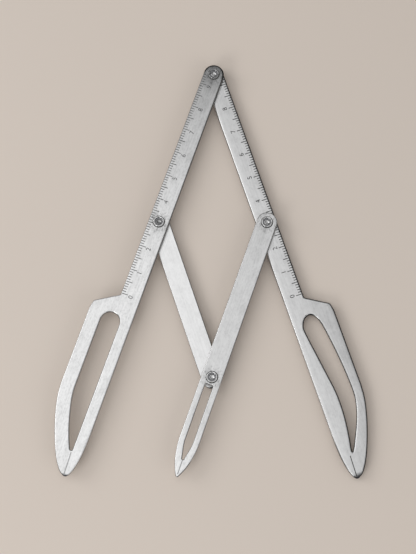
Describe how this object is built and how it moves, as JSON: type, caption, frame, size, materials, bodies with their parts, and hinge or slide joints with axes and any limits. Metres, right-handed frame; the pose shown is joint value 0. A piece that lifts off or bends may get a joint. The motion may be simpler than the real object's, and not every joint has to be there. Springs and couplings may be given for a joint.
{
  "type": "golden ratio caliper",
  "caption": "Hand caliper of riveted flat steel bars whose middle point divides the span between two outer blade points in the golden ratio.",
  "frame": {"origin": "apex pivot's axis, on the plane of the back heads that the caliper lies on", "axes": "+X right across the points, +Y from the points towards the apex, +Z out of the front"},
  "size_m": [0.1174, 0.1624, 0.0063],
  "materials": {
    "bar_steel": "satin, brushed along each bar",
    "rivet_steel": "turned and rolled, bright",
    "washer_steel": "stamped, satin",
    "spring_steel": "tempered, dull",
    "scale_mark": "dark laser-marked oxide"
  },
  "bodies": {
    "left_arm": {"left_arm": "bar_steel", "apex_post": "rivet_steel", "apex_pin": "rivet_steel", "apex_spacer": "washer_steel", "apex_spring_washer": "spring_steel", "left_post": "rivet_steel", "left_pin": "rivet_steel", "left_spacer": "washer_steel", "left_spring_washer": "spring_steel"},
    "right_arm": {"right_arm": "bar_steel", "right_post": "rivet_steel", "right_pin": "rivet_steel", "right_spacer": "washer_steel", "right_spring_washer": "spring_steel"},
    "middle_leg": {"middle_leg": "bar_steel", "lower_post": "rivet_steel", "lower_pin": "rivet_steel", "lower_spacer": "washer_steel", "lower_spring_washer": "spring_steel"},
    "short_link": {"short_link": "bar_steel"}
  },
  "joints": [
    {"name": "opening", "type": "hinge", "parent": "left_arm", "child": "right_arm", "pos_m": [0, 0, 0], "axis": [0, 0, 1], "range_deg": [-30.6, 134.4]},
    {"name": "middle_leg_swing", "type": "hinge", "parent": "right_arm", "child": "middle_leg", "pos_m": [0.02089, -0.06049, 0], "axis": [0, 0, 1], "range_deg": [-134.4, 30.6]},
    {"name": "short_link_swing", "type": "hinge", "parent": "left_arm", "child": "short_link", "pos_m": [-0.02089, -0.06049, 0], "axis": [0, 0, 1], "range_deg": [-30.6, 134.4]}
  ],
  "couplings": [
    {"joint": "middle_leg_swing", "follows": "opening", "ratio": -1},
    {"joint": "short_link_swing", "follows": "opening", "ratio": 1}
  ]
}
